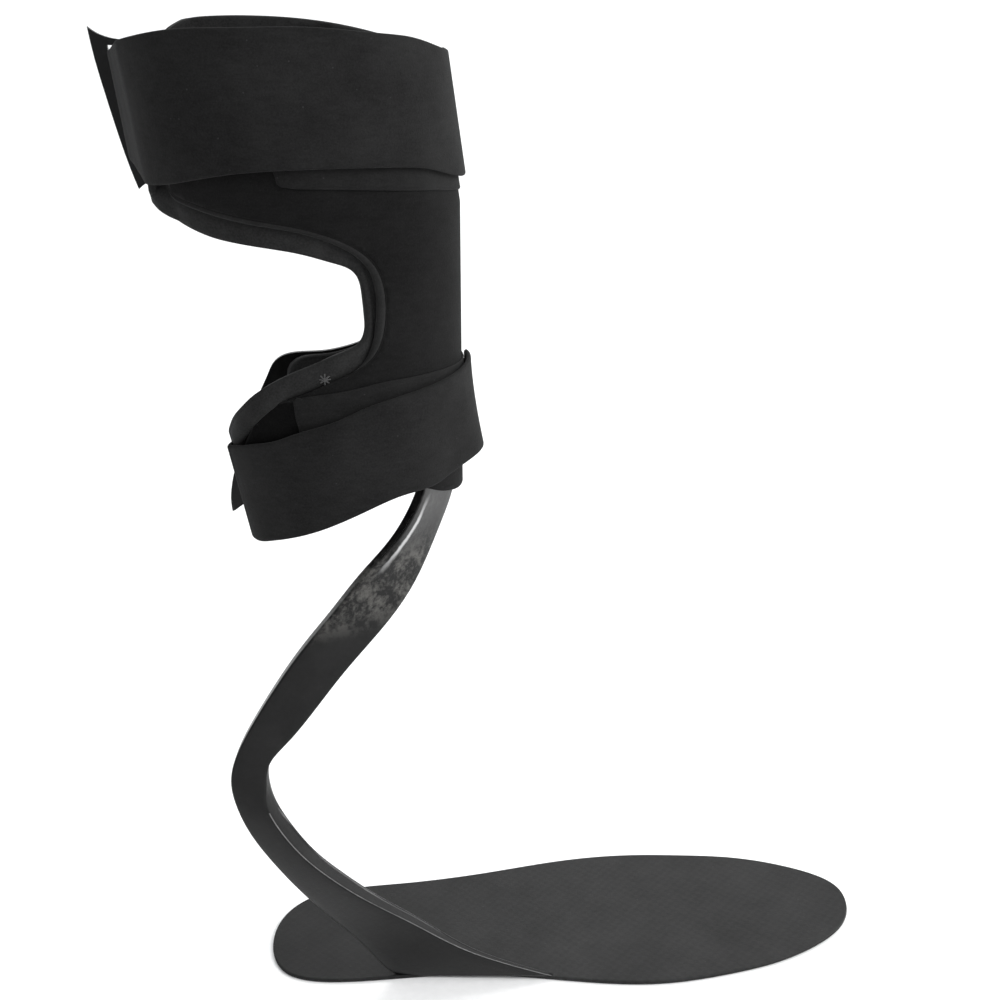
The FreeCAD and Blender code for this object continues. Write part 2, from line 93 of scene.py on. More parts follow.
# The liner's edge round the lateral cut-out.
FLANGE_HIGH = [
    (-60, 328.5), (-52.8, 325.3), (-50, 321.8), (-46, 319.3), (-39, 317), (-31.5, 315.2),
    (-16, 313.2), (-0.6, 310.7), (10, 307.5), (15.5, 305.7), (18.3, 302.5), (19.6, 296.6),
    (20.4, 285),
]
FLANGE_LOW = [
    (20.4, 285), (19.3, 279.8), (15.1, 276.8), (7.6, 274.4), (-1.8, 270.6), (-9.3, 267.6),
    (-19.5, 261), (-25, 255), (-29.5, 248.5), (-32, 242), (-34, 236), (-34, 228), (-36, 206),
    (-38, 191),
]
LATERAL_WING = [(-38, 392), (-47, 381), (-56, 373), (-66, 358), (-71, 340)]
UPPER_LOW = [
    (64, 328), (53.3, 332.8), (41.7, 337.5), (32.4, 339), (15, 339.8), (-2.5, 339.7),
    (-20, 338.5), (-34, 336), (-45.7, 333.1), (-57, 330.5), (-72, 327),
]
UPPER_HIGH = [
    (64, 369), (48, 376), (38, 380), (29, 381.5), (16.5, 382.9), (3, 384), (-15, 384),
    (-28, 383.8), (-40, 383.2), (-52.5, 381.1), (-61, 379), (-76, 375),
]
LOWER_LOW = [
    (66, 231), (54.8, 228), (44, 223), (35.5, 221.8), (29, 221), (21, 218.4), (9, 213),
    (0, 208.8), (-11.7, 203.7), (-19.3, 200), (-26.4, 195.8), (-45, 190),
]
LOWER_HIGH = [
    (66, 267), (56, 264), (40, 261), (28, 259), (16.6, 256), (6.6, 251.7), (-6, 247.5),
    (-16, 243), (-23.4, 240.5), (-32, 236.8), (-45, 232),
]
UPPER_BAND_LOW = [
    (64, 324), (53.5, 327.1), (46.2, 329.4), (32.3, 331.4), (14.6, 333), (-4.3, 333.8),
    (-20, 334),
]
LOWER_BAND_LOW = [(70, 240), (30, 244), (17, 246.5), (-6, 246), (-60, 245)]
LOWER_BAND_HIGH = [
    (70, 263), (54.7, 263.7), (46, 264.6), (30, 264.7), (24, 264.5), (16.8, 263.2),
    (9.8, 262), (2.8, 261), (-4.6, 260), (-20, 259),
]
UPPER_SLOT = ((-72.5, 375), (-67.5, 333))
LOWER_SLOT = ((-21, 237), (-32.5, 206))
UPPER_TAIL = (-135, -120, -105, -90, -72, -54)
LOWER_TAIL = (-120, -105, -90, -72, -54)
UPPER_LEAVES, LOWER_LEAVES = (165.0, 160.0), (168.0, 155.0)
UPPER_TAIL_DROP = 4.0
CROSSING = (0.25, 0.5, 0.75)


def ring(z, off):
    """Middle, reach and half width of the cuff's oval at height z, off mm outside it."""
    share = np.clip((z - CUFF_LOW_Z) / (CUFF_TOP_Z - CUFF_LOW_Z), 0, 1)
    gain = 1 - (1 - share) ** 1.3
    lean = np.maximum(0, z - CUFF_LEAN_Z) / (CUFF_TOP_Z - CUFF_LEAN_Z)
    front = CUFF_FRONT_X - CUFF_LEAN * lean + off
    rear = CUFF_REAR_LOW_X - CUFF_REAR_GAIN * gain - off
    half = CUFF_HALF_LOW + CUFF_HALF_GAIN * gain + off
    return (front + rear) / 2, (front - rear) / 2, half


def cuff(angle, z, off):
    """Points of the cuff: 0 degrees is the front of the shin and lateral is positive."""
    angle, z, off = np.broadcast_arrays(*(np.asarray(v, float) for v in (angle, z, off)))
    middle, reach, half = ring(z, off)
    turn, past = np.radians(angle), np.radians(-angle - 90)
    tail = angle < -90
    x = np.where(tail, middle - reach * past, middle + reach * np.cos(turn))
    y = np.where(tail, half * (1 - WING_TOE_IN * past ** 2), -half * np.sin(turn))
    return np.stack([x, y, z], -1)


# Distance round the cuff, from the front of the shin, for a flat pattern of it.
ANGLES = np.arange(-178, 178.1, 2.0)
LEVELS = np.arange(180, 404.1, 4.0)
RUNS = []
for level in LEVELS:
    line = cuff(ANGLES, level, 0)
    run = np.concatenate([[0], np.cumsum(np.linalg.norm(np.diff(line, axis=0), axis=1))])
    RUNS.append(run - np.interp(0, ANGLES, run))


def by_level(values, z, tables_in, tables_out):
    """Looks values up in the two tables nearest to each height and blends them."""
    row = np.clip((z - LEVELS[0]) / (LEVELS[1] - LEVELS[0]), 0, len(LEVELS) - 1.001)
    low = row.astype(int)
    found = np.empty(np.shape(values))
    for i in np.unique(low):
        pick = low == i
        share = row[pick] - i
        one = np.interp(values[pick], tables_in(i), tables_out(i))
        two = np.interp(values[pick], tables_in(i + 1), tables_out(i + 1))
        found[pick] = one + (two - one) * share
    return found


def angle_of(s, z):
    return by_level(s, z, lambda i: RUNS[i], lambda i: ANGLES)


def run_of(angle, z):
    return by_level(angle, z, lambda i: ANGLES, lambda i: RUNS[i])


def smooth_line(points, step):
    """Points about step apart on a smooth curve through the given ones."""
    p = np.array(points, float)
    length = np.linalg.norm(np.diff(p, axis=0), axis=1)
    t = np.concatenate([[0], np.cumsum(np.sqrt(length))])
    h, n = np.diff(t), len(p)
    matrix, right = np.eye(n), np.zeros_like(p)
    for i in range(1, n - 1):
        matrix[i, i - 1:i + 2] = h[i - 1], 2 * (h[i - 1] + h[i]), h[i]
        right[i] = 6 * ((p[i + 1] - p[i]) / h[i] - (p[i] - p[i - 1]) / h[i - 1])
    bend = np.linalg.solve(matrix, right)
    line = []
    for i in range(n - 1):
        count = max(2, int(round(length[i] / step)))
        for u in np.arange(count) / count:
            a, b = 1 - u, u
            curve = (a ** 3 - a) * bend[i] + (b ** 3 - b) * bend[i + 1]
            line.append(a * p[i] + b * p[i + 1] + curve * h[i] ** 2 / 6)
    return np.array(line + [p[-1]])


def even_line(line, count, closed=False):
    """The same line with count points at even distances."""
    line = np.array(line, float)
    if closed:
        line = np.vstack([line, line[:1]])
    t = np.concatenate([[0], np.cumsum(np.linalg.norm(np.diff(line, axis=0), axis=1))])
    at = np.linspace(0, t[-1], count + 1)[:-1] if closed else np.linspace(0, t[-1], count)
    return np.stack([np.interp(at, t, column) for column in line.T], -1)


def edge_height(edge, x):
    """The height of a side-view edge, given from front to back, at x."""
    line = smooth_line(edge, 2.0)[::-1]
    return np.interp(x, line[:, 0], line[:, 1])


# ---- flat patterns: an area is where its field is above 0, in mm from its edge ----
PAST_TOP, PAST_FOOT, PAST_SIDE = 420, 150, 400    # beyond the cuff, in its flat pattern


def side_line(points, lateral, end_angle):
    """A side-view curve laid on one side of the cuff, as (run, height) in the flat pattern."""
    line = smooth_line(points, 2.0)
    x, z = line[:, 0], line[:, 1]
    middle, reach, _ = ring(z, 0)
    back = (middle - x) / reach
    if lateral:
        angle = np.minimum(np.degrees(np.arccos(np.clip(-back, -1, 1))), end_angle)
    else:
        on_oval = -np.degrees(np.arccos(np.clip(-back, -1, 1)))
        angle = np.maximum(np.where(back > 0, -90 - np.degrees(back), on_oval), end_angle)
    return np.stack([run_of(angle, z), z], -1)


def distance_to(line, s, z):
    points = np.stack([s.ravel(), z.ravel()], -1)
    best = np.full(len(points), 1e9)
    for a, b in zip(line, line[1:]):
        step = b - a
        size = step @ step
        if size < 1e-9:
            continue
        t = np.clip(((points - a) @ step) / size, 0, 1)
        gap = points - a - t[:, None] * step
        best = np.minimum(best, np.einsum("ij,ij->i", gap, gap))
    return np.sqrt(best).reshape(s.shape)


def inside(loop, s, z):
    hit = np.zeros(s.shape, bool)
    for (s0, z0), (s1, z1) in zip(loop, np.roll(loop, -1, axis=0)):
        if z0 == z1:
            continue
        crosses = (z0 > z) != (z1 > z)
        hit ^= crosses & (s < (s1 - s0) * (z - z0) / (z1 - z0) + s0)
    return hit


def wing_field(lateral_line, medial_line):
    """The field of what lies in front of the two side curves, each from top to bottom."""
    def field(s, z):
        value = np.full(s.shape, 1e9)
        for line, side in ((lateral_line, 1), (medial_line, -1)):
            rim = np.vstack([[line[0][0], PAST_TOP], line, [line[-1][0], PAST_FOOT]])
            beside = side * PAST_SIDE
            loop = np.vstack([rim, [[beside, PAST_FOOT], [beside, PAST_TOP]]])
            gap = distance_to(rim, s, z)
            value = np.minimum(value, np.where(inside(loop, s, z), -gap, gap))
        return value
    return field


def between(low, high, low_rise=0.0, high_rise=0.0, tilt=0.0):
    """The field of what lies between two side-view edges, which may rise to the medial side."""
    def field(s, z):
        place = cuff(angle_of(s, z), z, 0)
        x, z = place[..., 0], z - tilt * place[..., 1]
        below = z - edge_height(low, x) - low_rise
        above = edge_height(high, x) + high_rise - z
        return np.minimum(below, above)
    return field


def both(*fields):
    return lambda s, z: np.minimum.reduce([f(s, z) for f in fields])


def turned(start, end):
    """The field of what lies between two angles round the cuff."""
    def field(s, z):
        low = run_of(np.full(s.shape, float(end)), z)
        high = run_of(np.full(s.shape, float(start)), z)
        return np.minimum(s - low, high - s)
    return field


def trimmed(field, s_range, z_range, step):
    """Flat vertices and faces of the area where the field is above 0, and its rim loops."""
    s = np.arange(s_range[0], s_range[1] + step, step)
    z = np.arange(z_range[0], z_range[1] + step, step)
    ss, zz = np.meshgrid(s, z, indexing="ij")
    f = field(ss, zz)
    slope_s, slope_z = np.gradient(f, step)
    steep = np.maximum(slope_s ** 2 + slope_z ** 2, 0.25)
    near = np.abs(f) < 0.22 * step    # grid points this near the edge are moved onto it
    ss = np.where(near, ss - f * slope_s / steep, ss)
    zz = np.where(near, zz - f * slope_z / steep, zz)
    f = np.where(near, 0.0, f)
    points, index, faces = [], {}, []

    def vertex(key, place):
        if key not in index:
            index[key] = len(points)
            points.append(place)
        return index[key]

    cells = (f[:-1, :-1] > 0) | (f[1:, :-1] > 0) | (f[:-1, 1:] > 0) | (f[1:, 1:] > 0)
    for i, j in zip(*np.nonzero(cells)):
        corners = [(i, j), (i + 1, j), (i + 1, j + 1), (i, j + 1)]
        face = []
        for one, two in zip(corners, corners[1:] + corners[:1]):
            f1, f2 = f[one], f[two]
            if f1 >= 0:
                face.append(vertex(one, (ss[one], zz[one])))
            if (f1 > 0 > f2) or (f1 < 0 < f2):
                t = f1 / (f1 - f2)
                place = (ss[one] + t * (ss[two] - ss[one]), zz[one] + t * (zz[two] - zz[one]))
                face.append(vertex(tuple(sorted((one, two))), place))
        if len(face) >= 3:
            faces.append(face)
    return np.array(points), faces, rim_loops(faces)


def rim_loops(faces):
    """The closed loops of edges that belong to one face only."""
    edges = {}
    for face in faces:
        for a, b in zip(face, face[1:] + face[:1]):
            if (b, a) in edges:
                del edges[(b, a)]
            else:
                edges[(a, b)] = True
    follow = {a: b for a, b in edges}
    loops = []
    while follow:
        start, here = next(iter(follow.items()))
        loop = [start]
        del follow[start]
        while here != start and here in follow:
            loop.append(here)
            here = follow.pop(here)
        loops.append(loop)
    return loops


# ---- mesh helpers ----
def mend(mesh, merge=0.0):
    """Merges points closer than merge millimetres and turns every face outward."""
    work = bmesh.new()
    work.from_mesh(mesh)
    if merge:
        bmesh.ops.remove_doubles(work, verts=work.verts, dist=merge * MM)
    bmesh.ops.recalc_face_normals(work, faces=work.faces)
    work.to_mesh(mesh)
    work.free()


def put_in(name, data):
    """A new object with this data, linked to the scene."""
    obj = bpy.data.objects.new(name, data)
    bpy.context.scene.collection.objects.link(obj)
    return obj


def new_object(name, points, faces, materials, uv=None, marks=None):
    mesh = bpy.data.meshes.new(name)
    mesh.from_pydata([tuple(p) for p in np.array(points) * MM], [], [list(f) for f in faces])
    for material in materials:
        mesh.materials.append(material)
    if marks is not None:
        mesh.polygons.foreach_set("material_index", marks)
    if uv is not None:
        layer = mesh.uv_layers.new(name="UVMap")
        for loop in mesh.loops:
            layer.data[loop.index].uv = uv[loop.vertex_index]
    mend(mesh)
    mesh.polygons.foreach_set("use_smooth", [True] * len(mesh.polygons))
    return put_in(name, mesh)


class Build:
    """Collects the points and faces of one object."""

    def __init__(self):
        self.points, self.faces, self.marks = [], [], []

    def add(self, points, faces, mark=0):
        start = len(self.points)
        self.points.extend(np.asarray(points, float).reshape(-1, 3))
        self.faces.extend([[start + v for v in face] for face in faces])
        self.marks.extend([mark] * len(faces))

    def object(self, name, *materials):
        return new_object(name, self.points, self.faces, materials, marks=self.marks)


def grid_faces(rows, columns, close_rows=False, close_columns=False):
    faces = []
    for i in range(rows if close_rows else rows - 1):
        for j in range(columns if close_columns else columns - 1):
            k, m = (i + 1) % rows, (j + 1) % columns
            faces.append((i * columns + j, i * columns + m, k * columns + m, k * columns + j))
    return faces


def thick_sheet(build, flat, faces, loops, inner, outer, mark=0):
    """A trimmed sheet on the cuff between two distances from it, with its rim closed. The
    distances are numbers or functions of (run, height)."""
    angle = angle_of(flat[:, 0], flat[:, 1])
    inner, outer = (v(flat[:, 0], flat[:, 1]) if callable(v) else v for v in (inner, outer))
    outside = cuff(angle, flat[:, 1], outer)
    within = cuff(angle, flat[:, 1], inner)
    count = len(flat)
    walls = []
    for loop in loops:
        for a, b in zip(loop, loop[1:] + loop[:1]):
            walls.append((a, b, b + count, a + count))
    back = [[v + count for v in reversed(face)] for face in faces]
    build.add(np.vstack([outside, within]), list(faces) + back + walls, mark)


def rim_frames(flat, loop, off, step, rounds=6):
    """Points along a rim at an offset, with the direction out of the area and off the cuff."""
    line = flat[loop]
    length = np.linalg.norm(np.diff(np.vstack([line, line[:1]]), axis=0), axis=1).sum()
    line = even_line(line, max(12, int(length / step)), closed=True)
    for _ in range(rounds):
        line = (np.roll(line, 1, axis=0) + 2 * line + np.roll(line, -1, axis=0)) / 4
    offs = off(line[:, 0], line[:, 1]) if callable(off) else np.full(len(line), off)
    angle = angle_of(line[:, 0], line[:, 1])
    points = cuff(angle, line[:, 1], offs)
    normal = cuff(angle, line[:, 1], offs + 1) - points
    normal /= np.linalg.norm(normal, axis=1)[:, None]
    along = np.roll(points, -1, axis=0) - np.roll(points, 1, axis=0)
    out = np.cross(normal, along)
    out /= np.linalg.norm(out, axis=1)[:, None]
    return line, points, out, normal


def bead(build, flat, loop, off, wide, high, inset, step=1.6, sides=14, mark=0):
    """A rounded edge along a rim. wide and high are half sizes, or functions of (run, z)."""
    line, points, out, normal = rim_frames(flat, loop, off, step)
    w = wide(line[:, 0], line[:, 1]) if callable(wide) else np.full(len(line), wide)
    h = high(line[:, 0], line[:, 1]) if callable(high) else np.full(len(line), high)
    turn = np.arange(sides) * 2 * np.pi / sides
    centre = points - out * (w + inset(line[:, 0], line[:, 1]))[:, None]
    tube = (centre[:, None] + out[:, None] * (w[:, None] * np.cos(turn))[..., None]
            + normal[:, None] * (h[:, None] * np.sin(turn))[..., None])
    build.add(tube, grid_faces(len(line), sides, True, True), mark)


def flat_inset(overhang):
    """A bead that stands this far past the rim all the way."""
    return lambda s, z: 0 * s - overhang


# ---- materials ----
def socket(node, name, value):
    node.inputs[name].default_value = value


class Shader:
    """A small helper that builds a node material round one Principled shader."""

    def __init__(self, name, roughness, **sockets):
        self.material = bpy.data.materials.new(name)
        self.material.use_nodes = True
        self.tree = self.material.node_tree
        self.tree.nodes.clear()
        self.out = self.tree.nodes.new("ShaderNodeOutputMaterial")
        self.skin = self.tree.nodes.new("ShaderNodeBsdfPrincipled")
        self.tree.links.new(self.skin.outputs[0], self.out.inputs["Surface"])
        socket(self.skin, "Roughness", roughness)
        for key, value in sockets.items():
            socket(self.skin, key.replace("_", " "), value)

    def node(self, kind, settings=None, **inputs):
        made = self.tree.nodes.new("ShaderNode" + kind)
        for key, value in (settings or {}).items():
            setattr(made, key, value)
        for key, value in inputs.items():
            place = int(key[1:]) if key[0] == "i" and key[1:].isdigit() else key.replace("_", " ")
            if isinstance(value, bpy.types.NodeSocket):
                self.tree.links.new(value, made.inputs[place])
            else:
                made.inputs[place].default_value = value
        return made

    def link(self, value, place):
        self.tree.links.new(value, self.skin.inputs[place])

    def where(self, scale=(1, 1, 1), turn=(0, 0, 0), coordinate="Object"):
        coords = self.node("TexCoord").outputs[coordinate]
        return self.node("Mapping", Vector=coords, Scale=scale, Rotation=turn).outputs[0]

    def noise(self, at, scale, detail=2.0, rough=0.5):
        return self.node("TexNoise", Vector=at, Scale=scale, Detail=detail,
                         Roughness=rough).outputs["Fac"]

    def ramp(self, value, *stops):
        made = self.node("ValToRGB", Fac=value)
        ramp = made.color_ramp
        while len(ramp.elements) < len(stops):
            ramp.elements.new(0.5)
        for element, (place, colour) in zip(ramp.elements, stops):
            element.position = place
            element.color = (*colour, 1) if len(colour) == 3 else colour
        return made.outputs["Color"]

    def maths(self, operation, *values):
        inputs = {"i%d" % i: value for i, value in enumerate(values)}
        return self.node("Math", {"operation": operation}, **inputs).outputs[0]

    def mix(self, share, one, two):
        one, two = (v if isinstance(v, bpy.types.NodeSocket) else (*v, 1) for v in (one, two))
        return self.node("Mix", {"data_type": "RGBA"}, i0=share, i6=one, i7=two).outputs[2]

    def sum(self, *parts):
        """The sum of values, each times its weight."""
        total = None
        for value, weight in parts:
            part = self.maths("MULTIPLY", value, weight)
            total = part if total is None else self.maths("ADD", total, part)
        return total

    def fade(self, value, scale, *stops):
        """Grey levels along a value in metres, which reaches 1 / scale at most."""
        greys = [(place * scale, (level,) * 3) for place, level in stops]
        return self.ramp(self.maths("MULTIPLY", value, scale), *greys)

    def along(self, coordinate, axis):
        """One axis of a texture coordinate."""
        place = self.node("TexCoord").outputs[coordinate]
        return self.node("SeparateXYZ", Vector=place).outputs[axis]

    def specks(self, at, base, scale, share, level):
        """The base colour with tiny pale specks."""
        gap = self.node("TexVoronoi", {}, Vector=at, Scale=scale).outputs["Distance"]
        dots = self.ramp(gap, (0.03, (1, 1, 1)), (0.06, (0, 0, 0)))
        return self.mix(self.maths("MULTIPLY", dots, share), base, grey(level))

    def bump(self, height, strength, distance, under=None):
        made = self.node("Bump", Height=height, Strength=strength, Distance=distance)
        if under is not None:
            self.tree.links.new(under, made.inputs["Normal"])
        return made.outputs["Normal"]


def grey(value):
    return (value, value, value)


def fabric(name, dark, light, fuzz=0.4, sheen=0.03, grain=1500):
    """Brushed loop fabric: soft mottling over a fine felted surface, with a little lint."""
    s = Shader(name, 0.95, Sheen_Weight=sheen, Sheen_Roughness=0.5, Specular_IOR_Level=0.04)
    at = s.where()
    cloud = s.noise(at, 42, 5.0, 0.65)
    streaks = s.noise(s.where((1, 1, 4)), 160, 3.0, 0.6)
    felt = s.noise(at, grain, 3.0, 0.7)
    tone = s.sum((cloud, 0.4), (felt, 0.4), (streaks, 0.2))
    base = s.ramp(tone, (0.34, grey(dark)), (0.66, grey(light)))
    s.link(s.specks(at, base, 170.0, 0.35, light * 3), "Base Color")
    s.link(s.bump(felt, fuzz, 0.0003, s.bump(cloud, 0.3, 0.0010)), "Normal")
    return s.material


def knit(name, dark, light):
    """The liner's smooth knitted facing: fine ribs over a soft foam."""
    s = Shader(name, 0.85, Sheen_Weight=0.05, Sheen_Roughness=0.4, Specular_IOR_Level=0.06)
    at = s.where()
    cloud = s.noise(at, 70, 4.0, 0.55)
    felt = s.noise(at, 1500, 2.0, 0.6)
    ribs = s.node("TexWave", {"bands_direction": "Z"}, Vector=at, Scale=300.0, Distortion=1.5,
                  Detail=1.0, Detail_Scale=3.0).outputs["Fac"]
    tone = s.sum((cloud, 0.5), (felt, 0.5))
    s.link(s.ramp(tone, (0.35, grey(dark)), (0.65, grey(light))), "Base Color")
    height = s.sum((felt, 0.7), (ribs, 0.3))
    s.link(s.bump(height, 0.2, 0.0003, s.bump(cloud, 0.3, 0.0012)), "Normal")
    return s.material


def twill(s, at, tow):
    """The squares of a woven cloth, and the rounded height of the tow in each."""
    cells = s.node("TexChecker", Vector=at, Scale=1 / tow).outputs["Fac"]
    warp = s.node("TexWave", {"bands_direction": "X"}, Vector=at, Scale=2.2 / tow).outputs["Fac"]
    weft = s.node("TexWave", {"bands_direction": "Y"}, Vector=at, Scale=2.2 / tow).outputs["Fac"]
    tows = s.node("Mix", {"data_type": "FLOAT"}, i0=cells, i2=warp, i3=weft)
    return cells, tows.outputs[0]


# On the strut's outer face, in metres: levels of the pale patch (a painted glint) and of the
# bright streak (a painted highlight) where the strut twists, and the streak's distance from the
# rear edge.
PAINTED_GLINT_LEVELS = ((0.16375, 0), (0.175, 1), (0.19125, 1), (0.2, 0.2), (0.225, 0.1))
PAINTED_HIGHLIGHT_LEVELS = ((0.18875, 0), (0.1975, 1), (0.2075, 1), (0.2175, 0))
PAINTED_HIGHLIGHT_ACROSS = ((0.004, 0), (0.005, 1), (0.006, 1), (0.0076, 0))
LEVEL_SCALE, ACROSS_SCALE = 4.0, 25.0


def gloss_carbon(name, dark, light, glint=0.0, tow=0.0021, by_uv=True):
    """Glossy laminate: cloudy patches and a faint twill under clear resin. A glint above 0 adds
    painted light
    where the strut twists: a pale mottled patch in that grey, a painted glint, and a bright
    streak, a painted highlight."""
    s = Shader(name, 0.35, Coat_Weight=0.24, Coat_Roughness=0.04, Specular_IOR_Level=0.08)
    quarter = (0, 0, math.radians(45))
    at = s.where((1, 1, 1), quarter, "UV" if by_uv else "Object")
    cells, tows = twill(s, at, tow)
    patches = s.noise(s.where(), 85, 4.0, 0.65)
    fine = s.noise(s.where(), 420, 3.0, 0.7)
    tone = s.sum((cells, 0.025), (patches, 0.7), (fine, 0.3))
    base = s.ramp(tone, (0.38, grey(dark)), (0.6, grey((dark + light) / 2)),
                  (0.8, grey(light)))
    if glint:
        # Painted glint: a pale mottled patch where the strut twists.
        height = s.along("Object", "Z")
        zone = s.fade(height, LEVEL_SCALE, *PAINTED_GLINT_LEVELS)
        mottle = s.ramp(s.sum((fine, 0.5), (patches, 0.5)), (0.45, grey(0)), (0.6, grey(1)))
        share = s.maths("MULTIPLY", zone, s.maths("MULTIPLY", mottle, 0.75))
        base = s.mix(share, base, (glint, glint * 0.97, glint * 0.9))
        # Painted highlight: a bright streak near the rear edge, just above the patch.
        drift = s.maths("MULTIPLY", s.maths("SUBTRACT", patches, 0.5), 0.1 / ACROSS_SCALE)
        across = s.maths("ADD", s.along("UV", "X"), drift)
        band = s.fade(across, ACROSS_SCALE, *PAINTED_HIGHLIGHT_ACROSS)
        reach = s.fade(height, LEVEL_SCALE, *PAINTED_HIGHLIGHT_LEVELS)
        share = s.maths("MULTIPLY", band, s.maths("MULTIPLY", reach, 0.9))
        base = s.mix(share, base, grey(glint * 5.0))
    s.link(base, "Base Color")
    s.link(s.maths("ADD", s.maths("MULTIPLY", patches, 0.3), 0.2), "Roughness")
    wavy = s.noise(s.where(), 60, 2.0, 0.5)
    s.link(s.bump(wavy, 0.15, 0.0008), "Coat Normal")
    s.link(s.bump(tows, 0.1, 0.0002, s.bump(fine, 0.2, 0.0003)), "Normal")
    return s.material


def matte_carbon(name, dark, light):
    """Matte laminate: fine grain, faint mottling and tiny pale specks, darker at the heel."""
    s = Shader(name, 0.6, Specular_IOR_Level=0.15)
    at = s.where()
    cloud = s.noise(at, 28, 5.0, 0.65)
    grain = s.noise(at, 900, 3.0, 0.7)
    weave = s.node("TexChecker", Vector=at, Scale=420.0).outputs["Fac"]
    tone = s.sum((cloud, 0.5), (grain, 0.45), (weave, 0.05))
    base = s.ramp(tone, (0.36, grey(dark)), (0.66, grey(light)))
    base = s.specks(at, base, 130.0, 0.3, light * 2.5)
    from_heel = s.maths("ADD", s.along("Object", "X"), 0.06)
    heel = s.fade(from_heel, 5.0, (0.03, 0.4), (0.15, 0))
    s.link(s.mix(heel, base, grey(0.001)), "Base Color")
    s.link(s.maths("ADD", s.maths("MULTIPLY", grain, 0.25), 0.45), "Roughness")
    s.link(s.bump(grain, 0.3, 0.0003, s.bump(cloud, 0.2, 0.001)), "Normal")
    return s.material


def thread(name, dark, light):
    s = Shader(name, 0.7, Sheen_Weight=0.2)
    fibre = s.noise(s.where(), 2500, 2.0)
    s.link(s.ramp(fibre, (0.3, grey(dark)), (0.7, grey(light))), "Base Color")
    return s.material


COVER_FABRIC = fabric("cover_fabric", 0.0035, 0.0095)
# A darker copy of the cover fabric: painted shade under the lower strap.
PAINTED_SHADE_FABRIC = fabric("painted_shade_fabric", 0.002, 0.006, 0.3, 0.0)
EDGE_BINDING = fabric("edge_binding", 0.008, 0.018, 0.3, 0.04)
STRAP_FABRIC = fabric("strap_fabric", 0.0065, 0.0165)
BAND_FABRIC = fabric("band_fabric", 0.0065, 0.0155)
LINER_KNIT = knit("liner_knit", 0.010, 0.023)
HOOK_TAPE = fabric("hook_tape", 0.004, 0.010, 0.9, 0.01, 900)
THREAD = thread("thread", 0.010, 0.03)
# The strut's colour holds painted light: a glint patch and a highlight streak where it twists.
STRUT_CARBON = gloss_carbon("strut_carbon", 0.0006, 0.006, 0.08)
SHELL_CARBON = gloss_carbon("shell_carbon", 0.002, 0.006, by_uv=False)
PLATE_CARBON = matte_carbon("plate_carbon", 0.010, 0.023)
STRUT_EDGE = matte_carbon("strut_edge", 0.008, 0.018)
# A pale gloss for the strut's front edge: a painted highlight.
PAINTED_EDGE_HIGHLIGHT = gloss_carbon("strut_painted_edge_highlight", 0.07, 0.2)


# ---- liner ----
CUFF_SPAN, CUFF_RISE = (-150.0, 150.0), (186.0, 390.0)
LINER_MID, LINER_HALF = LINER_OUT - LINER_T / 2, LINER_T / 2
LOW_WING_LIFT, LOW_WING_PUFF, REAR_LIFT = 1.6, 2.4, 6.3    # of the liner's lateral rim
RIM_LEVELS = [262, 276, 284, 300, 308, 322]
RIM_HALVES = [4.2, 3.0, 1.7, 1.7, 2.9, 3.5]    # half width of that rim at those levels
PLAIN_HALF = 2.0     # its half width on the medial side and along the top
SWELL = 0.25
GRID = 2.0    # mesh size of the sheets on the cuff


def soft_step(low, high, value):
    share = np.clip((value - low) / (high - low), 0, 1)
    return share * share * (3 - 2 * share)


def flange_lift(s, z):
    """How far the liner's lateral edge rises off its place, over the shell's edges."""
    angle = angle_of(s, z)
    side = soft_step(60, 80, angle)
    low_wing = (LOW_WING_LIFT + LOW_WING_PUFF * soft_step(276, 258, z)) * side
    rear = REAR_LIFT * soft_step(143, 173, angle) * soft_step(290, 310, z)
    return np.maximum(low_wing, rear)


FLANGE_LINE = np.vstack([side_line(LATERAL_WING, True, LATERAL_END + 30),
                         side_line(FLANGE_HIGH, True, LATERAL_END + 30),
                         side_line(FLANGE_LOW, True, LATERAL_END + 10)])
SOFT_END = MEDIAL_END + 24    # where the soft layers end on the medial side
SOFT_MEDIAL_LINE = side_line(MEDIAL_SOFT_EDGE, False, SOFT_END)
CUT_LINE = side_line(CUT_OUT, True, LATERAL_END - 1)


def near_flange(s, z):
    """1 at the liner's lateral rim and 0 away from it."""
    return soft_step(11.0, 5.5, distance_to(FLANGE_LINE, s, z))


def make_liner():
    rim = wing_field(FLANGE_LINE, SOFT_MEDIAL_LINE)
    field = both(rim, between(LOWER_EDGE, TOP_EDGE, LINER_RISE, LINER_STANDS_UP, LINER_TILT))
    flat, faces, loops = trimmed(field, CUFF_SPAN, CUFF_RISE, GRID)
    build = Build()

    def lifted(off, puff=0.0):
        def offs(s, z):
            swell = np.sin(s * 0.21 + 0.6) * np.sin(z * 0.17 + 0.3 * np.sin(s * 0.09))
            return off + flange_lift(s, z) * near_flange(s, z) - puff * (1 + swell)
        return offs

    def wide(s, z):
        """Half width of the rolled rim, which varies with height on the lateral side only."""
        lateral = soft_step(55, 75, angle_of(s, z)) * soft_step(379, 372, z)
        return PLAIN_HALF + (np.interp(z, RIM_LEVELS, RIM_HALVES) - PLAIN_HALF) * lateral

    thick_sheet(build, flat, faces, loops, lifted(LINER_OUT - LINER_T, SWELL), lifted(LINER_OUT))
    for loop in loops:
        bead(build, flat, loop, lifted(LINER_MID), wide, LINER_HALF + 0.2, flat_inset(0.4))
    obj = build.object("liner", LINER_KNIT)
    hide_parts("liner_pad")
    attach(obj, "shin")


